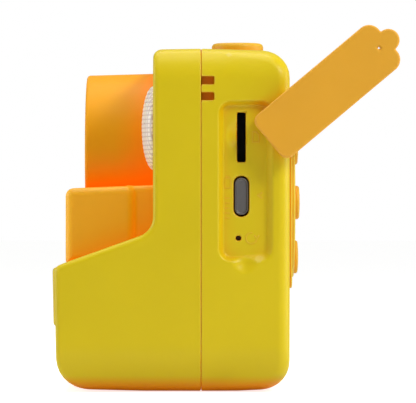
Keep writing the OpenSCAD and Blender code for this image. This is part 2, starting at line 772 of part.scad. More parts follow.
module port_cover() color(orange)
    translate([0, pivot_y, pivot_z]) rotate([flap_open, 0, 0]) translate([0, -pivot_y, -pivot_z]) union() {
        along_x(flap_x) translate([recess_y, recess_z + recess_h / 2 - flap_inset])
            linear_extrude(flap_t) flap_outline();
        // plugs on the inner face
        for (p = [[usb_z, plug_usb], [card_z, plug_card]])
            block([flap_x - plug_l, port_y - p[1][0], p[0] - p[1][1]],
                [flap_x + eps, port_y + p[1][0], p[0] + p[1][1]]);
        // tether post, stud and its retaining head
        rod_x([floor_x + run, pivot_y, pivot_z], post_foot_r, flap_x - floor_x);
        rod_x([floor_x - floor_t - 1, pivot_y, pivot_z], stud_r, floor_t + 2);
        rod_x([floor_x - floor_t - 1, pivot_y, pivot_z], stud_head_r, 0.9);
    }

// ---- printer ----

module printer_frame() color([0.75, 0.76, 0.78]) difference() {
    union() {
        for (x = [-plate_x - plate_t, plate_x]) along_x(x) linear_extrude(plate_t)
            polygon([[platen_y - 3, 23], [-4, 10.5], [9.6, 10.5], [9.6, 30], [-7, 33.4],
                [platen_y - 3, 33.4]]);
        block([-plate_x - eps, bridge[0][0], bridge[0][1]], [plate_x + eps, bridge[1][0], bridge[1][1]]);
    }
    rod_x([-plate_x - 2, platen_y, platen_z], shaft_r + run, 2 * plate_x + 4);
    rod_x([plate_x - 1, motor_y, motor_z], boss_r + run, plate_t + 2);
    rod_x([plate_x - 1, idler_y, idler_z], idler_axle_r, plate_t + 2);
}

module idler_axle() color(steel) rod_x([plate_x, idler_y, idler_z], idler_axle_r, plate_t + 4);

module print_head() color([0.3, 0.3, 0.33]) union() {
    block([-head_half_w, head_y[0], platen_z + platen_r + 0.2], [head_half_w, head_y[1], head_z]);
    block([-plate_x, ear_y, ear_z], [plate_x, head_y[1], head_z]);
}

// A thin bar with a row of teeth along its lower edge, inside the beak
module tear_bar() color(steel) along_y(beak_front_y + beak_wall) linear_extrude(0.4) polygon(concat(
    [[-head_half_w, slot_z + 3]],
    [for (x = [-head_half_w:2:head_half_w]) each [[x, slot_z + slot_h / 2 + 0.1],
        [min(x + 1, head_half_w), slot_z + slot_h / 2 + 0.7]]],
    [[head_half_w, slot_z + 3]]));

module platen_shaft() color(steel)
    rod_x([shaft_x[0], platen_y, platen_z], shaft_r, shaft_x[1] - shaft_x[0]);

module platen_roller() color([0.15, 0.15, 0.16]) difference() {
    rod_x([-paper_w / 2 - platen_end, platen_y, platen_z], platen_r, paper_w + 2 * platen_end);
    rod_x([-half_w, platen_y, platen_z], shaft_r, body_w);
}

module platen_gear() color("white") gear(platen_teeth, platen_y, platen_z, 0, shaft_r);
module idler_gear() color("white") gear(idler_teeth, idler_y, idler_z, idler_phase, idler_axle_r + run);
module motor_pinion() color("gold") gear(pinion_teeth, motor_y, motor_z, pinion_phase, motor_shaft_r);

module motor() color(steel) difference() {
    union() {
        rod_x([motor_x, motor_y, motor_z], motor_r, motor_l);
        rod_x([motor_x + motor_l - eps, motor_y, motor_z], boss_r, boss_l);
    }
    rod_x([motor_x + motor_l - 9, motor_y, motor_z], motor_shaft_r + run, 20);
}

module motor_shaft() color(steel)
    rod_x([motor_x + motor_l - 8.9, motor_y, motor_z], motor_shaft_r, 14.8);

module paper_cradle() color([0.85, 0.85, 0.85]) union() {
    for (x = [-cradle_x - cradle_t, cradle_x]) along_x(x) linear_extrude(cradle_t)
        polygon([[-28, 3.6], [-23.5, 2.5], [-14, 2.1], [-6.4, 2.1], [-6.4, 22], [-12, 26], [-28, 26]]);
    block([-cradle_x - 0.1, cradle_floor[0][0], cradle_floor[0][1]],
        [cradle_x + 0.1, cradle_floor[1][0], cradle_floor[1][1]]);
}

module roll_hubs() color([0.85, 0.85, 0.85])
    for (x = [-cradle_x, cradle_x - hub_l]) rod_x([x, roll_y, roll_z], hub_r, hub_l);

module paper_core() color([0.6, 0.5, 0.38]) difference() {
    rod_x([-paper_w / 2, roll_y, roll_z], core_r, paper_w);
    rod_x([-half_w, roll_y, roll_z], hub_r + hub_gap, body_w);
}

module paper_roll() color([0.97, 0.97, 0.96]) difference() {
    rod_x([-paper_w / 2, roll_y, roll_z], roll_r, paper_w);
    rod_x([-half_w, roll_y, roll_z], core_r, body_w);
}

// A quarter turn round the platen
function wrap(r) = [for (i = [0:8]) [platen_y, platen_z] + polar(r, 90 * i / 8)];

// Paper from the roll, round the back of the platen and out of the beak
module paper_web() color([0.97, 0.97, 0.96]) along_x(-paper_w / 2) linear_extrude(paper_w) {
    near = platen_r + run / 2;
    outer = wrap(near + web_t);
    polygon(concat(
        [[platen_y + near, roll_z + 1]], wrap(near),
        [[beak_front_y + 0.4, platen_z + near], [beak_front_y + 0.4, platen_z + near + web_t]],
        [for (i = [8:-1:0]) outer[i]], [[platen_y + near + web_t, roll_z + 1]]));
}

front_shell();
rear_shell();
beak();
lens_barrel();
lens_bezel();
lens_window();
lens_holder();
lens_elements();
image_sensor();
sensor_board();
eye_dome_port_side();
eye_dome_grip_side();
eye_light_board_port_side();
eye_light_board_grip_side();
shutter_button();
shutter_switch();
shutter_board();
screen_frame();
screen_window();
display_module();
key_up();
key_down();
key_left();
key_right();
key_ok();
key_board();
key_switches();
main_board();
usb_c_socket();
card_socket();
reset_switch();
port_cover();
battery();
speaker();
microphone();
printer_frame();
print_head();
tear_bar();
platen_shaft();
platen_roller();
platen_gear();
idler_gear();
idler_axle();
motor_pinion();
motor();
motor_shaft();
paper_cradle();
roll_hubs();
paper_core();
paper_roll();
paper_web();
paper_door();
door_hinge_pins();
shell_screws();
board_screws();
board_spacers();
processor();
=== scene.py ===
"""Looks of the kids' instant-print camera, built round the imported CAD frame.

Moulded parts are signed distance fields in millimetres, meshed by surface nets, so that every edge
has the small radius that a moulding has. Turned parts are lathed. Materials are procedural.
"""

import json
import math

import bmesh
import bpy
import numpy as np
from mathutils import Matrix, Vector

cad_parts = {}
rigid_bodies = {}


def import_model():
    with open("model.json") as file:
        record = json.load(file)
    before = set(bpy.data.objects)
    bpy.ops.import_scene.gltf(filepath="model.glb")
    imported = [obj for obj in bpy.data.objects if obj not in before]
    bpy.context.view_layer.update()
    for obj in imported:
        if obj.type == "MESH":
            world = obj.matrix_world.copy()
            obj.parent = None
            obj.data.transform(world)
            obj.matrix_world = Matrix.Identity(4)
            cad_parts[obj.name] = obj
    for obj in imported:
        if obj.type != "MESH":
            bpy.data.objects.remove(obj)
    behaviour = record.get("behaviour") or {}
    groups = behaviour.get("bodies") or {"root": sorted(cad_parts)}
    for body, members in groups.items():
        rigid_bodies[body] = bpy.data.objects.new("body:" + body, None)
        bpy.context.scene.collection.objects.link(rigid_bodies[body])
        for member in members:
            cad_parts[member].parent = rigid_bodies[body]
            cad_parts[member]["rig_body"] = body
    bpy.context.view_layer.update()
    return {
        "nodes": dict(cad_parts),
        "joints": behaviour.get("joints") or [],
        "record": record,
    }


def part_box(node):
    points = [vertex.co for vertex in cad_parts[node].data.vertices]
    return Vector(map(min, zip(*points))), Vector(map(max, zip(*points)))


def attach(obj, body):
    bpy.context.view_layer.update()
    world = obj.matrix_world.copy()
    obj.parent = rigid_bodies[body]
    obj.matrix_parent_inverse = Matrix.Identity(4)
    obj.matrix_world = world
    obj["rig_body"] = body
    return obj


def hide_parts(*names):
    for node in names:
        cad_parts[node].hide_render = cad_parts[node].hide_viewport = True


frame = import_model()
MM = 0.001


def low_high(node):
    """A CAD node's lowest and highest corner, in millimetres."""
    low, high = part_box(node)
    return np.array(low) / MM, np.array(high) / MM


# ---------------------------------------------------------------- sizes, read from the frame

FRONT = low_high("front_shell")
REAR = low_high("rear_shell")
BARREL = low_high("lens_barrel")
BEAK = low_high("beak")
COVER = low_high("port_cover")
SHUTTER = low_high("shutter_button")
KEY_OK = low_high("key_ok")
SHUTTER_X, SHUTTER_Y = (SHUTTER[0] + SHUTTER[1])[:2] / 2
DOOR = low_high("paper_door")
PANEL = low_high("screen_frame")
WINDOW = low_high("screen_window")
USB = low_high("usb_c_socket")
CARD = low_high("card_socket")
DOME = low_high("eye_dome_port_side")
DOME_Z = (DOME[0][2] + DOME[1][2]) / 2
DOME_X = 36
LENS_HOLE_R, DOME_HOLE_R, SHUTTER_HOLE_R = 20.05, 9.35, 6.5
GAP = 0.15                             # between the beak or the keys and the shell round them
NECK_HALF, DOOR_HALF, DOOR_GAP = 30, 31, 0.25
BEAK_STEP_Y, BEAK_SEAT_Y = -16.6, -16.85    # where the wide beak ends, and the shell's cut for it
STRAP_Y, STRAP_Z = 1.55, (71.42, 75.28)
JOINTS = {j["name"]: j for j in frame["joints"]}

HALF_W = REAR[1][0]                    # half the body's width, 56
TOP_Z = REAR[1][2]                     # top of the body at the parting line, 83.2
REAR_Y = REAR[1][1] - 1.5              # rear face; the key disc stands 1.5 proud of it
NOSE_Y = FRONT[0][1]                   # lower front face
WALL = 2.0
DRAFT = 0.02                           # lean of the side faces away from the parting line
LENS_Z = (BARREL[0][2] + BARREL[1][2]) / 2
BARREL_R = (BARREL[1][2] - BARREL[0][2]) / 2
FACE_Y = BEAK[1][1]                    # flat upper front round the lens
PAD = (KEY_OK[0] + KEY_OK[1]) / 2      # middle of the five keys
KEY_PITCH = (low_high("key_left")[0] - KEY_OK[0])[0]
KEY_FLANGE = 0.6                       # how far the flange behind a key stands out
KEY_R = (KEY_OK[1][0] - KEY_OK[0][0]) / 2 - KEY_FLANGE
DISC_R = 18.6                          # raised disc round the keys
KEYS = ("key_up", "key_down", "key_left", "key_right", "key_ok")
RECESS = {"y": 10.74, "z": 51.0, "w": 13.1, "h": 38.6, "r": 3.0, "depth": 2.0}
FLOOR_X = HALF_W - RECESS["depth"]
PORT_Y = (USB[0][1] + USB[1][1]) / 2
USB_Z = (USB[0][2] + USB[1][2]) / 2
CARD_Z = (CARD[0][2] + CARD[1][2]) / 2
RESET_Z = (low_high("reset_switch")[0] + low_high("reset_switch")[1])[2] / 2
PIVOT = np.array(JOINTS["cover_swivel"]["pos_m"]) / MM
HINGE = np.array(JOINTS["door_hinge"]["pos_m"]) / MM
COVER_OPEN = 130                       # degrees from shut to the open rest pose

# ---------------------------------------------------------------- distance fields, in millimetres


def smooth_and(a, b, r):
    """Where two fields overlap, with the edge between them rounded to radius r."""
    inner = np.minimum(np.maximum(a + r, b + r), 0)
    return inner + np.hypot(np.maximum(a + r, 0), np.maximum(b + r, 0)) - r


def smooth_cut(a, b, r):
    """Field a with field b taken away."""
    return smooth_and(a, -b, r)


def smooth_or(a, b, r):
    """Either field, with the inside corner between them filled to radius r."""
    return -smooth_and(-a, -b, r)


def rect(u, v, half_u, half_v, r):
    """A rectangle centred on 0, its corners rounded to radius r."""
    qu, qv = np.abs(u) - half_u + r, np.abs(v) - half_v + r
    return np.hypot(np.maximum(qu, 0), np.maximum(qv, 0)) + np.minimum(np.maximum(qu, qv), 0) - r


def segment(u, v, a, b):
    """Distance to the line from a to b."""
    d = np.subtract(b, a)
    t = np.clip(((u - a[0]) * d[0] + (v - a[1]) * d[1]) / (d @ d), 0, 1)
    return np.hypot(u - a[0] - t * d[0], v - a[1] - t * d[1])


def round_outline(corners, steps=7):
    """Points of an outline given as (u, v, radius) corners, each turned into a true arc."""
    points = []
    count = len(corners)
    for i, (u, v, r) in enumerate(corners):
        here = np.array([u, v])
        if not r:
            points.append(here)
            continue
        before = np.array(corners[i - 1][:2]) - here
        after = np.array(corners[(i + 1) % count][:2]) - here
        before, after = before / np.linalg.norm(before), after / np.linalg.norm(after)
        half = math.acos(before @ after) / 2
        middle = before + after
        centre = here + middle / np.linalg.norm(middle) * r / math.sin(half)
        start = here + before * r / math.tan(half) - centre
        end = here + after * r / math.tan(half) - centre
        a0 = math.atan2(start[1], start[0])
        sweep = (math.atan2(end[1], end[0]) - a0 + math.pi) % (2 * math.pi) - math.pi
        for k in range(steps + 1):
            a = a0 + sweep * k / steps
            points.append(centre + r * np.array([math.cos(a), math.sin(a)]))
    return np.array(points)


def outline_field(points):
    """A function of (u, v) that is the signed distance to a closed outline."""
    def field(u, v):
        best = np.full(np.broadcast(u, v).shape, 1e18)
        inside = np.zeros(best.shape, bool)
        for a, b in zip(points, np.roll(points, -1, 0)):
            e = b - a
            if e @ e < 1e-12:
                continue
            wu, wv = u - a[0], v - a[1]
            t = np.clip((wu * e[0] + wv * e[1]) / (e @ e), 0, 1)
            best = np.minimum(best, (wu - t * e[0]) ** 2 + (wv - t * e[1]) ** 2)
            crosses = (a[1] <= v) != (b[1] <= v)
            inside ^= crosses & (wu * e[1] > wv * e[0]) if e[1] < 0 else crosses & (wu * e[1] < wv * e[0])
        return np.where(inside, -1, 1) * np.sqrt(best)
    return field


# ---------------------------------------------------------------- meshing


def coords(*spans):
    """Grid coordinates from (start, stop, step) spans that follow one another."""
    parts = [np.linspace(a, b, max(int(round((b - a) / s)), 1), endpoint=False) for a, b, s in spans]
    return np.append(np.concatenate(parts), spans[-1][1])


EDGES = [(c, c | 1 << k) for k in range(3) for c in range(8) if not c >> k & 1]


def surface_net(field, xs, ys, zs, steps=3):
    """Vertices and quads of a field's zero surface, and the field's direction at each vertex."""
    v = field(xs[:, None, None], ys[None, :, None], zs[None, None, :])
    v = np.ascontiguousarray(np.broadcast_to(v, (len(xs), len(ys), len(zs))), np.float32)
    inside = v < 0
    count = np.zeros(np.array(v.shape) - 1, np.int8)
    corner = [(slice(c & 1, v.shape[0] - 1 + (c & 1)), slice(c >> 1 & 1, v.shape[1] - 1 + (c >> 1 & 1)),
               slice(c >> 2 & 1, v.shape[2] - 1 + (c >> 2 & 1))) for c in range(8)]
    for s in corner:
        count += inside[s]
    cell = np.argwhere((count > 0) & (count < 8))
    index = np.full(count.shape, -1, np.int64)
    index[tuple(cell.T)] = np.arange(len(cell))
    value = np.stack([v[s][tuple(cell.T)] for s in corner], 1)
    total, weight = np.zeros((len(cell), 3)), np.zeros(len(cell))
    offset = np.array([[c & 1, c >> 1 & 1, c >> 2 & 1] for c in range(8)], float)
    for a, b in EDGES:
        va, vb = value[:, a], value[:, b]
        hit = (va < 0) != (vb < 0)
        t = np.where(hit, va / np.where(hit, va - vb, 1), 0)
        total += hit[:, None] * (offset[a] + t[:, None] * (offset[b] - offset[a]))
        weight += hit
    part = total / weight[:, None]
    axes = (xs, ys, zs)
    points = np.stack([axes[k][cell[:, k]] * (1 - part[:, k]) + axes[k][cell[:, k] + 1] * part[:, k]
                       for k in range(3)], 1)
    size = np.stack([axes[k][cell[:, k] + 1] - axes[k][cell[:, k]] for k in range(3)], 1).min(1)
    for _ in range(steps):
        here, slope = value_and_slope(field, points)
        move = here[:, None] * slope / np.maximum((slope ** 2).sum(1), 0.05)[:, None]
        length = np.linalg.norm(move, axis=1)
        points -= move * np.minimum(1, 0.35 * size / np.maximum(length, 1e-9))[:, None]
    slope = value_and_slope(field, points)[1]
    quads = []
    for k in range(3):
        low = [slice(None)] * 3
        high = [slice(None)] * 3
        low[k], high[k] = slice(0, -1), slice(1, None)
        flip = np.argwhere(inside[tuple(low)] != inside[tuple(high)])
        i, j = [m for m in range(3) if m != k]
        flip = flip[(flip[:, i] > 0) & (flip[:, j] > 0) & (flip[:, i] < v.shape[i] - 1)
                    & (flip[:, j] < v.shape[j] - 1)]
        ring = []
        for di, dj in ((-1, -1), (0, -1), (0, 0), (-1, 0)):
            at = flip.copy()
            at[:, i] += di
            at[:, j] += dj
            ring.append(index[tuple(at.T)])
        quad = np.stack(ring, 1)
        outward = inside[tuple(flip.T)] ^ (k == 1)
        quad[~outward] = quad[~outward][:, ::-1]
        quads.append(quad)
    return points, np.concatenate(quads), slope


def value_and_slope(field, p, h=0.02):
    """A field's value and gradient at points, taken in blocks to save memory."""
    here, slope = np.empty(len(p)), np.empty((len(p), 3))
    for first in range(0, len(p), 40000):
        q = p[first:first + 40000]
        f0 = field(q[:, 0], q[:, 1], q[:, 2])
        here[first:first + len(q)] = f0
        for k in range(3):
            step = q.copy()
            step[:, k] += h
            slope[first:first + len(q), k] = (field(step[:, 0], step[:, 1], step[:, 2]) - f0) / h
    return here, slope


def mesh_object(name, points, faces, normals=None, material=None):
    """An object from points in millimetres and faces, smooth shaded."""
    mesh = bpy.data.meshes.new(name)
    mesh.from_pydata((np.asarray(points) * MM).tolist(), [], [list(map(int, f)) for f in faces])
    mesh.validate()
    mesh.shade_smooth()
    if normals is not None:
        unit = normals / np.maximum(np.linalg.norm(normals, axis=1), 1e-9)[:, None]
        mesh.normals_split_custom_set_from_vertices(unit.tolist())
    if material:
        mesh.materials.append(material)
    obj = bpy.data.objects.new(name, mesh)
    bpy.context.scene.collection.objects.link(obj)
    return obj


def moulded(name, field, grid, material, turn=None):
    """A piece made from a distance field on a grid, optionally turned by a matrix in millimetres."""
    points, quads, slope = surface_net(field, *grid)
    if turn is not None:
        points = points @ turn[0].T + turn[1]
        slope = slope @ turn[0].T
    return mesh_object(name, points, quads, slope, material)


def lathe(name, profile, centre, axis, material, steps=96):
    """Turns a profile of (radius, along, corner radius) points about an axis through centre.
    The profile runs from the axis out and back to it, so the piece is closed."""
    pts = round_outline(profile, 5)
    rings, faces, points = [], [], []
    for r, h in pts:
        if r < 1e-6:
            rings.append([len(points)])
            points.append((0, 0, h))
            continue
        rings.append(list(range(len(points), len(points) + steps)))
        for k in range(steps):
            a = 2 * math.pi * k / steps
            points.append((r * math.cos(a), r * math.sin(a), h))
    for a, b in zip(rings, rings[1:]):
        for k in range(steps):
            m = (k + 1) % steps
            quad = [a[k % len(a)], a[m % len(a)], b[m % len(b)], b[k % len(b)]]
            quad = list(dict.fromkeys(quad))
            if len(quad) > 2:
                faces.append(quad)
    turn = Vector((0, 0, 1)).rotation_difference(Vector(axis)).to_matrix()
    points = np.array(points) @ np.array(turn).T + np.array(centre)
    obj = mesh_object(name, points, faces, None, material)
    soften(obj)
    return obj


def soften(obj, angle=40):
    """Outward normals and smooth shading up to an angle."""
    work = bmesh.new()
    work.from_mesh(obj.data)
    bmesh.ops.recalc_face_normals(work, faces=work.faces)
    work.to_mesh(obj.data)
    work.free()
    obj.data.shade_smooth()
    obj.data.set_sharp_from_angle(angle=math.radians(angle))


# ---------------------------------------------------------------- materials


def linear(r, g, b):
    """A colour given as 0 to 255 screen values, as linear light."""
    out = []
    for c in (r, g, b):
        c = c / 255
        out.append(c / 12.92 if c <= 0.04045 else ((c + 0.055) / 1.055) ** 2.4)
    return (*out, 1)


class Nodes:
    """Short forms for wiring one material's nodes."""

    def __init__(self, name):
        self.material = bpy.data.materials.new(name)
        self.material.use_nodes = True
        self.tree = self.material.node_tree
        self.shader = self.tree.nodes["Principled BSDF"]
        self.place = self.add("ShaderNodeTexCoord").outputs["Object"]

    def add(self, kind, **values):
        node = self.tree.nodes.new(kind)
        for key, value in values.items():
            setattr(node, key, value)
        return node

    def wire(self, a, b):
        self.tree.links.new(a, b)

    def put(self, socket, value):
        self.shader.inputs[socket].default_value = value

    def noise(self, scale, detail=3.0, stretch=None):
        """Noise in bumps per metre, optionally stretched along an axis."""
        n = self.add("ShaderNodeTexNoise")
        n.inputs["Scale"].default_value = scale
        n.inputs["Detail"].default_value = detail
        place = self.place
        if stretch:
            m = self.add("ShaderNodeMapping")
            m.inputs["Scale"].default_value = stretch
            self.wire(self.place, m.inputs["Vector"])
            place = m.outputs["Vector"]
        self.wire(place, n.inputs["Vector"])
        return n.outputs["Fac"]

    def range(self, value, low, high, a=0.0, b=1.0):
        """Maps a value from a..b to low..high, held at the ends."""
        m = self.add("ShaderNodeMapRange")
        for k, v in zip(("From Min", "From Max", "To Min", "To Max"), (a, b, low, high)):
            m.inputs[k].default_value = v
        self.wire(value, m.inputs["Value"])
        return m.outputs["Result"]

    def mix(self, factor, a, b):
        m = self.add("ShaderNodeMix", data_type="RGBA")
        for socket, value in ((m.inputs["A"], a), (m.inputs["B"], b)):
            if isinstance(value, tuple):
                socket.default_value = value
            else:
                self.wire(value, socket)
        self.wire(factor, m.inputs["Factor"])
        return m.outputs["Result"]

    def bump(self, height, strength, distance):
        b = self.add("ShaderNodeBump")
        b.inputs["Strength"].default_value = strength
        b.inputs["Distance"].default_value = distance
        self.wire(height, b.inputs["Height"])
        previous = self.shader.inputs["Normal"].links
        if previous:
            self.wire(previous[0].from_socket, b.inputs["Normal"])
        self.wire(b.outputs["Normal"], self.shader.inputs["Normal"])


def moulding(name, colour, rough=0.34, vary=0.05, grain=0.1, grain_scale=2600, glow=0.0, coat=0.0,
             painted_bounce_colour=None, shade_reach=0.006, painted_corner_glow=0.0, painted_open_glow=0.0, shine=0.5):
    """Moulded plastic: faint flow mottling, fine texture from the mould, lightly rubbed edges.
    Painted shade: in corners found by ambient occlusion the colour turns deeper, and a painted glow in
    that colour stands for light bounced between walls; a second painted glow lights the open faces."""
    m = Nodes(name)
    pale = tuple(min(c * (1 + vary), 1) for c in colour[:3]) + (1,)
    deep = tuple(c * (1 - vary) for c in colour[:3]) + (1,)
    flow = m.mix(m.range(m.noise(38, 2), 0, 1, 0.35, 0.65), deep, pale)
    rub = m.range(m.add("ShaderNodeNewGeometry").outputs["Pointiness"], 0, 0.35, 0.52, 0.6)
    surface = m.mix(rub, flow, tuple(c + (1 - c) * 0.2 for c in colour[:3]) + (1,))
    # Painted shade and painted glow: ambient occlusion darkens corners towards the bounce colour and makes
    # them emit it.
    if painted_bounce_colour:
        corner = m.add("ShaderNodeAmbientOcclusion", samples=6)
        corner.inputs["Distance"].default_value = shade_reach
        open_share = corner.outputs["AO"]
        surface = m.mix(m.range(open_share, 0, 1, 0.25, 0.95), painted_bounce_colour, surface)
        m.put("Emission Color", painted_bounce_colour)
        m.wire(m.range(open_share, painted_corner_glow, painted_open_glow, 0.1, 0.9), m.shader.inputs["Emission Strength"])
    m.wire(surface, m.shader.inputs["Base Color"])
    m.wire(m.range(m.noise(260, 4), rough - 0.05, rough + 0.06, 0.3, 0.7), m.shader.inputs["Roughness"])
    m.bump(m.noise(grain_scale, 2), grain, 0.00006)
    m.bump(m.noise(60, 1), 0.12, 0.0002)
    m.put("Subsurface Weight", glow)
    m.put("Subsurface Radius", (0.004, 0.002, 0.0006))
    m.put("Subsurface Scale", 0.5)
    m.put("Coat Weight", coat)
    m.put("Specular IOR Level", shine)
    m.put("Coat Roughness", 0.12)
    return m


def yellow_shell():
    # Painted shade: recess walls, strap slots and the floor under the cover deepen to orange in their
    # corners, with a faint painted glow.
    return moulding("yellow_moulding", linear(221, 196, 8), rough=0.38, vary=0.02, glow=0.06, shine=0.32,
                    painted_bounce_colour=linear(226, 138, 0), shade_reach=0.0042, painted_corner_glow=0.17).material


def orange_plastic():
    # Painted shade and a strong painted glow in red-orange where orange parts come close, as low on the
    # barrel above the beak.
    return moulding("orange_moulding", linear(240, 164, 12), rough=0.46, vary=0.02, glow=0.08, shine=0.16,
                    painted_bounce_colour=linear(248, 116, 0), shade_reach=0.011, painted_corner_glow=0.4).material


def beak_finish():
    """A brighter painted copy of the orange moulding for the beak: painted light on all its faces, with
    painted shade and glow in its corners.
    """
    return moulding("orange_moulding_beak_painted_light", linear(255, 190, 40), rough=0.4, vary=0.02, glow=0.08,
                    shine=0.3, painted_bounce_colour=linear(250, 152, 12), shade_reach=0.006, painted_corner_glow=0.36, painted_open_glow=0.1).material


def button_finish():
    """A copy of the orange moulding for the keys and the shutter button, its colour set for the light that
    falls on them, with painted shade and glow in their corners.
    """
    return moulding("orange_moulding_keys_painted_light", linear(222, 173, 38), rough=0.42, vary=0.02, glow=0.08,
                    shine=0.25, painted_bounce_colour=linear(232, 136, 8), shade_reach=0.003, painted_corner_glow=0.14).material


def orange_soft():
    return moulding("orange_soft_rubber", linear(230, 166, 30), rough=0.66, vary=0.03, grain=0.25,
                    grain_scale=1800, glow=0.05).material


def dome_plastic():
    """Milky plastic covered with rows of small prisms, with painted shade in their valleys and a faint
    painted glow.
    """
    m = moulding("translucent_dome", linear(250, 238, 226), rough=0.3, vary=0.02, glow=0.25)
    place = m.add("ShaderNodeSeparateXYZ")
    m.wire(m.place, place.inputs["Vector"])
    painted_valley_shade = None
    for axis, pitch in (("X", 0.00115), ("Z", 0.00105)):
        turn = m.add("ShaderNodeMath", operation="MULTIPLY")
        turn.inputs[1].default_value = 2 * math.pi / pitch
        wave = m.add("ShaderNodeMath", operation="COSINE")
        m.wire(place.outputs[axis], turn.inputs[0])
        m.wire(turn.outputs["Value"], wave.inputs[0])
        if painted_valley_shade is None:
            painted_valley_shade = wave.outputs["Value"]
        else:
            top = m.add("ShaderNodeMath", operation="MAXIMUM")
            m.wire(painted_valley_shade, top.inputs[0])
            m.wire(wave.outputs["Value"], top.inputs[1])
            painted_valley_shade = top.outputs["Value"]
    # Painted shade: the prism valleys are coloured darker.
    base = m.shader.inputs["Base Color"].links[0].from_socket
    m.wire(m.mix(m.range(painted_valley_shade, 0, 1, 0.4, 1.0), base, linear(206, 186, 178)), m.shader.inputs["Base Color"])
    # Painted glow: the whole dome emits a faint warm white.
    m.put("Emission Color", linear(255, 232, 214))
    m.put("Emission Strength", 0.04)
    return m.material


def black_plastic():
    return moulding("black_moulding", linear(30, 30, 32), rough=0.5, vary=0.1, grain=0.35,
                    grain_scale=2200).material


def grey_plastic():
    return moulding("grey_moulding", linear(186, 187, 190), rough=0.45, vary=0.03, grain=0.2).material


def white_nylon():
    return moulding("white_nylon_moulding", linear(238, 237, 230), rough=0.4, vary=0.02, glow=0.2).material


def clear_window():
    m = moulding("clear_moulding", linear(235, 240, 245), rough=0.06, vary=0.01, grain=0.02)
    m.put("Transmission Weight", 0.92)
    m.put("IOR", 1.49)
    return m.material


def screen_black():
    return moulding("tinted_acrylic", linear(14, 15, 19), rough=0.08, vary=0.05, grain=0.02,
                    coat=0.8).material


def metal(name, colour, rough=0.3, stretch=(40, 1, 1), vary=0.08):
    """Metal with fine drawn lines along one axis and faint blotches."""
    m = Nodes(name)
    dull = tuple(c * (1 - vary) for c in colour[:3]) + (1,)
    m.wire(m.mix(m.range(m.noise(120, 3), 0, 1, 0.35, 0.65), dull, colour), m.shader.inputs["Base Color"])
    lines = m.noise(900, 2, stretch)
    m.wire(m.range(lines, rough - 0.08, rough + 0.1, 0.3, 0.7), m.shader.inputs["Roughness"])
    m.bump(lines, 0.15, 0.00003)
    m.put("Metallic", 1.0)
    return m.material


def steel():
    return metal("plated_steel", linear(190, 190, 194))


def port_steel():
    return metal("nickel_shell", linear(124, 121, 120), rough=0.5, stretch=(1, 30, 1), vary=0.1)


def brass():
    return metal("turned_brass", linear(206, 172, 100), rough=0.28, stretch=(30, 1, 1))


def foil():
    return metal("pouch_foil", linear(150, 156, 166), rough=0.38, stretch=(1, 1, 20))


def circuit_board():
    """Green solder mask over copper tracks."""
    m = moulding("solder_mask", linear(28, 104, 62), rough=0.3, vary=0.08, coat=0.4)
    brick = m.add("ShaderNodeTexBrick")
    brick.inputs["Scale"].default_value = 260
    brick.inputs["Color1"].default_value = linear(28, 104, 62)
    brick.inputs["Color2"].default_value = linear(22, 88, 52)
    brick.inputs["Mortar"].default_value = linear(52, 136, 84)
    m.wire(m.place, brick.inputs["Vector"])
    m.wire(brick.outputs["Color"], m.shader.inputs["Base Color"])
    return m.material


def rubber():
    return moulding("ground_rubber", linear(38, 38, 40), rough=0.8, vary=0.12, grain=0.5,
                    grain_scale=3200).material


def thermal_paper():
    return moulding("coated_paper", linear(244, 243, 240), rough=0.55, vary=0.01, grain=0.3,
                    grain_scale=5200, glow=0.1).material


def brown_card():
    return moulding("wound_card", linear(176, 142, 100), rough=0.85, vary=0.12, grain=0.5,
                    grain_scale=900).material


SLOTS = {f.__name__: f for f in (
    yellow_shell, orange_plastic, orange_soft, dome_plastic, black_plastic, grey_plastic, white_nylon,
    clear_window, screen_black, circuit_board, steel, port_steel, brass, rubber, foil, thermal_paper,
    brown_card)}
MATERIALS = {name: make() for name, make in SLOTS.items()}
SLOT_OF = {p["node"]: p["material_slot"] for p in frame["record"]["subparts"]}
for node, obj in frame["nodes"].items():
    obj.data.materials.clear()
    obj.data.materials.append(MATERIALS[SLOT_OF[node]])


def stand_for(obj, *nodes):
    """The piece takes over its CAD nodes: it joins their body, and they are hidden."""
    body = frame["nodes"][nodes[0]]["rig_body"]
    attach(obj, body)
    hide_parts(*nodes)
    return obj


# ---------------------------------------------------------------- the two shells and the door

SIDE = outline_field(round_outline([
    (FACE_Y, TOP_Z - 0.2, 2.2), (FACE_Y, 38.9, 5.0), (NOSE_Y, 30.4, 2.0), (NOSE_Y + 0.5, 0.6, 8.0),
    (-14, 0, 0), (9, 0, 0), (REAR_Y, 0.6, 7.2), (REAR_Y, TOP_Z - 0.6, 6.8), (0, TOP_Z, 0)]))


def body(x, y, z):
    """The closed outer form that both shells and the door are parts of: the side outline, cut by a
    front outline with wide corners. The edge between them is crisp in front and softer behind."""
    edge = 1.3 + 1.7 * np.clip((y - 4) / 12, 0, 1)
    side_face = np.abs(x) - HALF_W + DRAFT * np.abs(y)
    front = smooth_and(side_face, z - TOP_Z - edge, 8 + edge)
    front = smooth_and(front, -z - edge, 11 + edge)
    return smooth_and(SIDE(y, z), front, edge)


def min_of(fields):
    """Several fields joined into one."""
    out = None
    for f in fields:
        out = f if out is None else np.minimum(out, f)
    return out


SCREWS = ((46, 76.5), (49, 9))
GRILLE = [(-42, 18.5)] + [(-42 + 4 * math.cos(a * math.pi / 3), 18.5 + 4 * math.sin(a * math.pi / 3))
                          for a in range(6)]


def posts(x, z):
    """The four screw posts, as one field."""
    return min_of(np.hypot(np.abs(x) - sx, z - sz) - 3 for sx, sz in SCREWS)


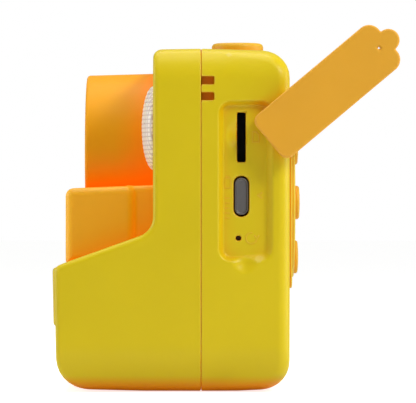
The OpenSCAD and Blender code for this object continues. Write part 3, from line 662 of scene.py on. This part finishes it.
def front_field(x, y, z):
    b = body(x, y, z)
    f = smooth_cut(smooth_and(b, y + 0.02, 0.22), b + WALL, 0.3)
    f = smooth_cut(f, np.hypot(x, z - LENS_Z) - LENS_HOLE_R, 0.2)
    f = smooth_cut(f, np.hypot(np.abs(x) - DOME_X, z - DOME_Z) - DOME_HOLE_R, 0.2)
    above = BEAK[0][2] - GAP - z
    beak_gap = np.maximum(np.maximum(np.abs(x) - BEAK[1][0] - GAP, y - BEAK_SEAT_Y), above)
    neck_gap = np.maximum(np.maximum(np.abs(x) - NECK_HALF - GAP, y - FACE_Y), above)
    f = smooth_cut(f, np.minimum(beak_gap, neck_gap), 0.3)
    door_gap = np.maximum(np.maximum(np.abs(x) - DOOR_HALF - DOOR_GAP, y + 26.5), np.maximum(2.8 - z, z - 31))
    f = smooth_cut(f, door_gap, 0.3)
    holes = min_of(np.hypot(x - gx, z - gz) - 0.8 for gx, gz in GRILLE)
    holes = np.minimum(holes, np.hypot(x + 46, z - 50) - 0.5)
    return smooth_cut(f, np.maximum(holes, y + 8), 0.1)


def recess(x, y, z):
    """The shallow pocket for the ports. Its walls slope: steep at the top and left, gentle at the right."""
    outline = rect(y - RECESS["y"], z - RECESS["z"], RECESS["w"] / 2, RECESS["h"] / 2, RECESS["r"])
    right = np.clip((y - RECESS["y"]) / 3, -1, 1)
    slope = 0.8 + 0.2 * right
    slope = slope - (slope - 0.55) * np.clip((z - RECESS["z"] - RECESS["h"] / 2 + 3) / 2, 0, 1)
    walls = (outline + slope * (HALF_W - DRAFT * y - x)) / np.hypot(1, slope)
    return smooth_and(walls, FLOOR_X - x, 0.3)


def port_cuts(x, y, z):
    """Openings in the recess floor: card slot and its scoop, charging port, reset, cover stud."""
    deep = 49.5 - x
    slot = rect(y - PORT_Y, z - CARD_Z, 1.05, 6.0, 0.15)
    usb = rect(y - PORT_Y, z - USB_Z, 1.86, 4.92, 1.8)
    reset = np.hypot(y - 9.0, z - RESET_Z) - 0.65
    stud = np.hypot(y - PIVOT[1], z - PIVOT[2]) - 0.95
    through = np.maximum(min_of((slot, usb, reset, stud)), deep)
    scoop = np.sqrt((x - FLOOR_X - 1.75) ** 2 + (y - PORT_Y + 0.9) ** 2
                    + (0.74 * (z - CARD_Z - 0.4)) ** 2) - 2.9
    return through, scoop


def rear_field(x, y, z):
    b = body(x, y, z)
    f = smooth_cut(smooth_and(b, 0.02 - y, 0.22), b + WALL, 0.3)
    # thicker wall behind the recess, and the pocket behind the strap bar
    pad = np.maximum(rect(y - RECESS["y"], z - RECESS["z"], RECESS["w"] / 2 + 1.2,
                          RECESS["h"] / 2 + 1.2, 1), np.maximum(51.8 - x, x - HALF_W + 0.6))
    f = np.minimum(f, pad)
    pocket = np.maximum(np.abs(z - 73.5) - 5, np.maximum(np.abs(y - 2.1) - 2.1, 50.4 - np.abs(x)))
    f = np.minimum(f, np.maximum(pocket, np.abs(x) - HALF_W + 1))
    disc = np.hypot(x - PAD[0], z - PAD[2]) - DISC_R
    disc = smooth_and(smooth_and(disc, y - REAR_Y - 1.5, 0.5), 19.4 - y, 0.2)
    f = smooth_or(f, disc, 0.25)
    f = np.minimum(f, np.maximum(np.maximum(posts(x, z), -y), b + 1))
    # port recess with its finger notch
    f = smooth_cut(f, recess(x, y, z), 0.22)
    notch = np.sqrt((x - HALF_W - 2.1) ** 2 + (y - RECESS["y"] + 0.2) ** 2
                    + (z - RECESS["z"] + RECESS["h"] / 2) ** 2) - 3.2
    f = smooth_cut(f, notch, 0.7)
    through, scoop = port_cuts(x, y, z)
    f = smooth_cut(smooth_cut(f, scoop, 0.6), through, 0.12)
    # strap slots and the tunnel that joins them behind the bar
    slots = min_of(rect(y - STRAP_Y, z - s, STRAP_Y, 0.95, 0.15) for s in STRAP_Z)
    slots = np.maximum(slots, 53.5 - np.abs(x))
    tunnel = np.maximum(rect(y - STRAP_Y, z - sum(STRAP_Z) / 2, STRAP_Y, 2.9, 0.2),
                        np.maximum(51.4 - np.abs(x), np.abs(x) - 54.2))
    f = smooth_cut(f, np.minimum(slots, tunnel), 0.15)
    # key holes, screen opening, shutter hole, screw holes
    keys = min_of(np.hypot(x - PAD[0] - i * KEY_PITCH, z - PAD[2] - j * KEY_PITCH) - KEY_R - GAP
                  for i, j in ((0, 0), (1, 0), (-1, 0), (0, 1), (0, -1)))
    f = smooth_cut(f, np.maximum(keys, 18 - y), 0.25)
    opening = rect(x + 19.3, z - 46.5, 28.8, 20.3, 1)
    f = smooth_cut(f, np.maximum(opening, 15 - y), 0.2)
    hole = np.hypot(x - SHUTTER_X, y - SHUTTER_Y) - SHUTTER_HOLE_R
    f = smooth_cut(f, np.maximum(hole, 78 - z), 0.3)
    return smooth_cut(f, np.maximum(posts(x, z) + 0.9, 3.6 - y), 0.2)


def door_field(x, y, z):
    b = body(x, y, z)
    pad = smooth_and(body(x, y + NOSE_Y - DOOR[0][1], z), np.abs(x) - 29, 1.2)
    pad = smooth_and(pad, np.maximum(14.9 - z, z - 29.8), 1.0)
    f = smooth_or(b, pad, 0.4)
    f = smooth_and(smooth_and(f, np.abs(x) - DOOR_HALF, 0.3), np.maximum(3.4 - z, z - 30.6), 0.3)
    f = np.maximum(f, y + 29.6)
    f = smooth_cut(f, b + WALL, 0.2)
    from_pin = np.hypot(y - HINGE[1], z - HINGE[2])
    knuckle = np.maximum(from_pin - 2.2, np.abs(np.abs(x) - 28) - 3)
    f = smooth_or(f, knuckle, 0.3)
    return np.maximum(f, 0.85 - from_pin)


def shells():
    rear_x = [(-57, -50, 0.6), (-50, -42, 0.8), (-42, 42, 1.2), (42, 50, 0.8), (50, 53, 0.5), (53, 57, 0.4)]
    front_x = [(-57, -50, 0.6), (-50, -34, 1.0), (-34, -29, 0.4), (-29, 29, 1.2), (29, 34, 0.4),
               (34, 50, 1.0), (50, 53, 0.5), (53, 57, 0.4)]
    front = (coords(*front_x),
             coords((-37, -33, 0.5), (-33, -13, 1.0), (-13, -8.5, 0.45), (-8.5, -1, 1.2), (-1, 0.4, 0.2)),
             coords((-0.6, 4, 0.6), (4, 27, 1.0), (27, 41, 0.5), (41, 74, 1.1), (74, 84, 0.6)))
    rear = (coords(*rear_x),
            coords((-0.4, 1, 0.2), (1, 18.5, 0.5), (18.5, 24, 0.45)),
            coords((-0.6, 8, 0.7), (8, 26, 1.1), (26, 70, 0.55), (70, 78, 0.4), (78, 84, 0.6)))
    door = (coords((-32, -24, 0.5), (-24, 24, 1.5), (24, 32, 0.5)),
            coords((-38, -28, 0.4)), coords((2.6, 31.4, 0.4)))
    yellow = MATERIALS["yellow_shell"]
    stand_for(moulded("front_shell_moulding", front_field, front, yellow), "front_shell")
    stand_for(moulded("rear_shell_moulding", rear_field, rear, yellow), "rear_shell")
    stand_for(moulded("paper_door_moulding", door_field, door, yellow), "paper_door")


# ---------------------------------------------------------------- orange parts


def beak_top(y):
    """Height of the beak's top, which rises a little towards the body."""
    return BEAK[1][2] - 0.0385 * (FACE_Y - y)


def beak_field(x, y, z):
    front_y, low_z = BEAK[0][1], BEAK[0][2]
    wide = smooth_and(BEAK_SIDE(y, z), np.abs(x) - BEAK[1][0], 2.0)
    neck = smooth_and(np.maximum(-18.5 - y, low_z - z), z - beak_top(y), 0.6)
    neck = np.maximum(smooth_and(neck, np.abs(x) - NECK_HALF, 1.5), y - FACE_Y)
    f = smooth_or(wide, neck, 0.8)
    cavity = np.maximum(np.abs(x) - 29, np.maximum(front_y + 2 - y, np.maximum(32.2 - z, z - 47.6)))
    # a wall stays under the barrel
    cavity = np.maximum(cavity, BARREL_R + 1.65 - np.hypot(x, z - LENS_Z))
    f = smooth_cut(f, cavity, 0.3)
    f = smooth_cut(f, np.maximum(np.maximum(np.abs(x) - 29, -16.5 - y), z - 33), 0.1)
    slot = np.maximum(rect(x, z - 33.4, 29.1, 0.7, 0.3), y - front_y - 3)
    f = smooth_cut(f, slot, 0.25)
    return smooth_cut(f, np.hypot(x, z - LENS_Z) - BARREL_R - GAP, 0.3)


BEAK_SIDE = outline_field(round_outline([
    (BEAK[0][1], beak_top(BEAK[0][1]), 2.0), (BEAK[0][1], BEAK[0][2], 0.4),
    (BEAK_STEP_Y, BEAK[0][2], 0.4), (BEAK_STEP_Y, beak_top(BEAK_STEP_Y), 2.0)]))


def cover_field(x, y, z):
    """The soft cover in its shut position; moulded() then swings it open."""
    u, w = y - 10.7, z - 70.25
    plate = np.maximum(rect(u, w + 20, 6.49, 19.99, 2.1), -34.3 - w)
    lobes = np.hypot(np.abs(u) - 3.4, w + 34.3) - 3.09
    outline = smooth_or(np.minimum(plate, lobes), np.hypot(u, w + 37.5) - 2.69, 0.3)
    low, high = COVER[1][0] - 1.6, COVER[1][0]
    f = smooth_and(outline, np.abs(x - (low + high) / 2) - 0.8, 0.45)
    plug = np.minimum(rect(y - PORT_Y, z - USB_Z, 1.2, 3.9, 1.1), rect(y - PORT_Y, z - CARD_Z, 0.8, 5.4, 0.3))
    f = smooth_or(f, smooth_and(plug, np.maximum(low - 1.2 - x, x - low - 0.2), 0.2), 0.15)
    from_pivot = np.hypot(y - PIVOT[1], z - PIVOT[2])
    post = np.maximum(from_pivot - 1.35, np.maximum(FLOOR_X + 0.05 - x, x - low - 0.2))
    stud = np.maximum(from_pivot - 0.9, np.maximum(COVER[0][0] - x, x - FLOOR_X - 0.3))
    head = np.maximum(from_pivot - 1.3, np.maximum(COVER[0][0] - x, x - COVER[0][0] - 0.9))
    return smooth_or(f, np.minimum(post, np.minimum(stud, head)), 0.4)


def orange_parts():
    orange = MATERIALS["orange_plastic"]
    grid = (coords((-33, -18, 0.5), (-18, 18, 1.0), (18, 33, 0.5)),
            coords((-35.4, -10.8, 0.45)), coords((30.2, 50.4, 0.45)))
    stand_for(moulded("beak_moulding", beak_field, grid, beak_finish()), "beak")
    front, back, seat = BARREL[0][1], BARREL[1][1], low_high("lens_bezel")[1][1]
    stand_for(lathe("lens_barrel_moulding", [
        (17.0, seat, 0), (18.5, seat, 0), (18.5, front + 0.4, 0.3), (18.9, front, 0.25),
        (BARREL_R - 0.5, front, 0.8), (BARREL_R, FACE_Y, 0.1), (19.9, FACE_Y, 0), (19.9, back, 0.2),
        (17.0, back, 0.2), (17.0, seat, 0)],
        (0, 0, LENS_Z), (0, 1, 0), orange, 160), "lens_barrel")
    foot, top = SHUTTER[0][2], SHUTTER[1][2]
    button = button_finish()
    stand_for(lathe("shutter_button_moulding", [
        (0, foot, 0), (7, foot, 0.1), (7, foot + 1.2, 0.1), (6.4, foot + 1.2, 0), (6.4, top - 0.15, 1.0),
        (3, top, 3), (0, top, 0)], (SHUTTER_X, SHUTTER_Y, 0), (0, 0, 1), button), "shutter_button")
    for node in KEYS:
        low, high = low_high(node)
        x, z, face = (low[0] + high[0]) / 2, (low[2] + high[2]) / 2, high[1]
        stand_for(lathe(node + "_moulding", [
            (0, 17, 0), (KEY_R + KEY_FLANGE, 17, 0.1), (KEY_R + KEY_FLANGE, 18.2, 0.1), (KEY_R, 18.2, 0),
            (KEY_R, face - 0.15, 0.6), (2, face, 2), (0, face, 0)], (x, 0, z), (0, 1, 0), button, 64), node)
    angle = math.radians(COVER_OPEN)
    c, s = math.cos(angle), math.sin(angle)
    turn = np.array([[1, 0, 0], [0, c, -s], [0, s, c]])
    grid = (coords((50.2, 57, 0.4), (57, 60.6, 0.2)), coords((3.4, 18, 0.35)), coords((29.8, 71, 0.35)))
    stand_for(moulded("port_cover_moulding", cover_field, grid, MATERIALS["orange_soft"],
                      (turn, PIVOT - turn @ PIVOT)), "port_cover")


# ---------------------------------------------------------------- domes and screen


def dome(node):
    """A shallow lens cap covered with small prisms in rows, on a plain rim."""
    low, high = low_high(node)
    x0, z0 = (low[0] + high[0]) / 2, (low[2] + high[2]) / 2
    radius = (high[0] - low[0]) / 2
    pitch_x, pitch_z, ridge, rise = 1.15, 1.05, 0.07, FACE_Y - low[1]

    def field(x, y, z):
        u, w = x - x0, z - z0
        r = np.hypot(u, w)
        depth = (FACE_Y - y) - (rise - ridge) * np.sqrt(np.maximum(1 - (r / radius) ** 2, 0))
        prisms = np.maximum(np.cos(2 * math.pi * x / pitch_x), np.cos(2 * math.pi * z / pitch_z))
        depth = depth - ridge * (0.4 - 0.6 * prisms) * np.clip((radius - 0.7 - r) / 0.5, 0, 1)
        cap = smooth_and(depth, np.maximum(r - radius, y - FACE_Y), 0.3)
        skirt = np.maximum(r - 9.2, np.maximum(FACE_Y - 0.5 - y, y - FACE_Y - 3))
        hollow = np.maximum(r - 8, FACE_Y - 1 - y)
        return np.maximum(np.minimum(cap, skirt), -hollow)

    grid = (coords((x0 - 11, x0 + 11, 0.2)), coords((FACE_Y - 4, FACE_Y, 0.25), (FACE_Y, FACE_Y + 3.4, 0.6)),
            coords((z0 - 11, z0 + 11, 0.2)))
    stand_for(moulded(node + "_moulding", field, grid, MATERIALS["dome_plastic"]), node)


def screen():
    """The raised surround: a wide panel with the screen opening and a hole for the key disc."""
    low, high = PANEL
    x0, z0 = (WINDOW[0][0] + WINDOW[1][0]) / 2, (WINDOW[0][2] + WINDOW[1][2]) / 2
    half_x, half_z = (WINDOW[1][0] - WINDOW[0][0]) / 2 + 0.1, (WINDOW[1][2] - WINDOW[0][2]) / 2 + 0.1

    def field(x, y, z):
        u, w = x - x0, z - z0
        outline = rect(x - (low[0] + high[0]) / 2, z - (low[2] + high[2]) / 2, (high[0] - low[0]) / 2,
                       (high[2] - low[2]) / 2, 4)
        flange = smooth_and(outline, np.maximum(REAR_Y - y, y - high[1]), 0.35)
        flange = smooth_cut(flange, np.hypot(x - PAD[0], z - PAD[2]) - DISC_R - 0.15, 0.2)
        lip = np.maximum(rect(u, w, half_x + 2.65, half_z + 2.65, 1),
                         np.maximum(low[1] - y, y - REAR_Y - 0.1))
        return smooth_cut(np.minimum(flange, lip), rect(u, w, half_x, half_z, 1.2), 0.3)

    grid = (coords((low[0] - 0.7, low[0] + 8, 0.4), (low[0] + 8, 4, 1.2), (4, high[0] + 0.7, 0.4)),
            coords((18.8, 22.9, 0.3)), coords((low[2] - 0.7, high[2] + 0.7, 0.4)))
    stand_for(moulded("screen_frame_moulding", field, grid, MATERIALS["yellow_shell"]), "screen_frame")


def charging_socket():
    """The socket's oval shell, with the grey insulator that fills most of its mouth."""
    low, high = USB

    def field(x, y, z):
        u, w = y - PORT_Y, z - USB_Z
        shell = smooth_and(rect(u, w, 1.58, 4.47, 1.56), np.maximum(low[0] - x, x - high[0]), 0.12)
        mouth = smooth_and(rect(u, w, 1.3, 4.15, 1.25), high[0] - 0.35 - x, 0.3)
        return smooth_cut(shell, mouth, 0.1)

    grid = (coords((low[0] - 0.3, high[0] - 1.4, 1.0), (high[0] - 1.4, high[0] + 0.3, 0.15)),
            coords((low[1] - 0.2, high[1] + 0.2, 0.12)), coords((low[2] - 0.2, high[2] + 0.2, 0.15)))
    stand_for(moulded("usb_c_socket_shell", field, grid, MATERIALS["port_steel"]), "usb_c_socket")


def port_marks():
    """Small raised pictograms on the recess floor: card, charging, direction of the plug, restart."""
    def line(y, z, *corners):
        return min_of(segment(y, z, a, b) for a, b in zip(corners, corners[1:]))

    def field(x, y, z):
        card = line(y, z, (12.4, 60.4), (12.4, 62.9), (13.3, 62.9), (13.9, 62.2), (13.9, 60.4), (12.4, 60.4))
        cell = line(y, z, (5.7, 49.4), (5.7, 51.7), (7.2, 51.7), (7.2, 49.4), (5.7, 49.4))
        pole = line(y, z, (6.15, 52.1), (6.75, 52.1))
        steps = min_of(line(y, z, (5.9, h), (6.9, h)) for h in (46.9, 45.7, 44.5, 43.3, 42.1))
        plug = line(y, z, (14.6, 48.2), (13.6, 47.6), (14.6, 47.0))
        turn = np.hypot(y - 12.1, z - RESET_Z)
        turn = np.where((y > 12.3) & (z > RESET_Z), 9, np.abs(turn - 1.3))
        head = line(y, z, (12.9, RESET_Z + 0.6), (13.4, RESET_Z - 0.1), (13.9, RESET_Z + 0.6))
        stroke = min_of((card, cell, pole, steps, plug, turn, head)) - 0.14
        return smooth_and(stroke, np.abs(x - FLOOR_X) - 0.1, 0.05)

    grid = (coords((FLOOR_X - 0.16, FLOOR_X + 0.2, 0.06)), coords((5, 15, 0.09)), coords((35.4, 63.4, 0.09)))
    obj = moulded("port_marks", field, grid, MATERIALS["yellow_shell"])
    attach(obj, "camera_body")


shells()
orange_parts()
for node in ("eye_dome_port_side", "eye_dome_grip_side"):
    dome(node)
screen()
charging_socket()
port_marks()

# ---------------------------------------------------------------- stage, light and camera


def stage():
    """Pale floor and backdrop: white to the camera, and a plain white bounce for the object."""
    m = Nodes("pale_floor")
    m.put("Base Color", linear(238, 238, 236))
    m.put("Roughness", 0.8)
    m.put("Emission Color", (1, 1, 1, 1))
    seen = m.add("ShaderNodeLightPath").outputs["Is Camera Ray"]
    m.wire(m.range(seen, 0, 0.75), m.shader.inputs["Emission Strength"])
    m.bump(m.noise(400, 2), 0.05, 0.0002)
    far = 3000
    floor = mesh_object("floor", [(-far, -far, -0.05), (far, -far, -0.05), (far, far, -0.05),
                                  (-far, far, -0.05)], [(0, 1, 2, 3)], None, m.material)
    world = bpy.data.worlds.new("studio")
    bpy.context.scene.world = world
    world.use_nodes = True
    tree = world.node_tree
    path = tree.nodes.new("ShaderNodeLightPath")
    strength = tree.nodes.new("ShaderNodeMapRange")
    strength.inputs["To Min"].default_value = 0.27
    strength.inputs["To Max"].default_value = 1.0
    tree.links.new(path.outputs["Is Camera Ray"], strength.inputs["Value"])
    background = tree.nodes["Background"]
    background.inputs["Color"].default_value = (1, 1, 1, 1)
    tree.links.new(strength.outputs["Result"], background.inputs["Strength"])


def softbox(name, where, target, size, power, tint=(1, 1, 1)):
    light = bpy.data.lights.new(name, "AREA")
    light.shape, light.size, light.size_y = "RECTANGLE", size[0] * MM, size[1] * MM
    light.energy, light.color = power, tint
    obj = bpy.data.objects.new(name, light)
    obj.location = Vector(where) * MM
    obj.rotation_euler = (Vector(target) - Vector(where)).to_track_quat("-Z", "Y").to_euler()
    bpy.context.scene.collection.objects.link(obj)


def camera():
    """Looks straight at the side with the ports, from 780 mm in front of it."""
    near, px_per_mm, image_w, sensor = 780, 4.16, 416, 36
    data = bpy.data.cameras.new("camera")
    data.sensor_width = sensor
    data.lens = near * px_per_mm / image_w * sensor
    data.clip_start, data.clip_end = 0.01, 20
    obj = bpy.data.objects.new("camera", data)
    obj.location = Vector((HALF_W + near, 1.66, 46.1)) * MM
    obj.rotation_euler = Vector((-1, 0, 0)).to_track_quat("-Z", "Y").to_euler()
    bpy.context.scene.collection.objects.link(obj)
    bpy.context.scene.camera = obj


stage()
softbox("key", (330, 330, 400), (20, 0, 45), (150, 150), 1.5)
softbox("top", (0, -40, 420), (0, 0, 45), (420, 300), 1.0)
softbox("front", (0, -520, 140), (20, -20, 45), (300, 420), 1.1)
softbox("back", (10, 520, 160), (20, 20, 45), (300, 420), 1.1)
camera()
bpy.context.scene.view_settings.view_transform = "Standard"
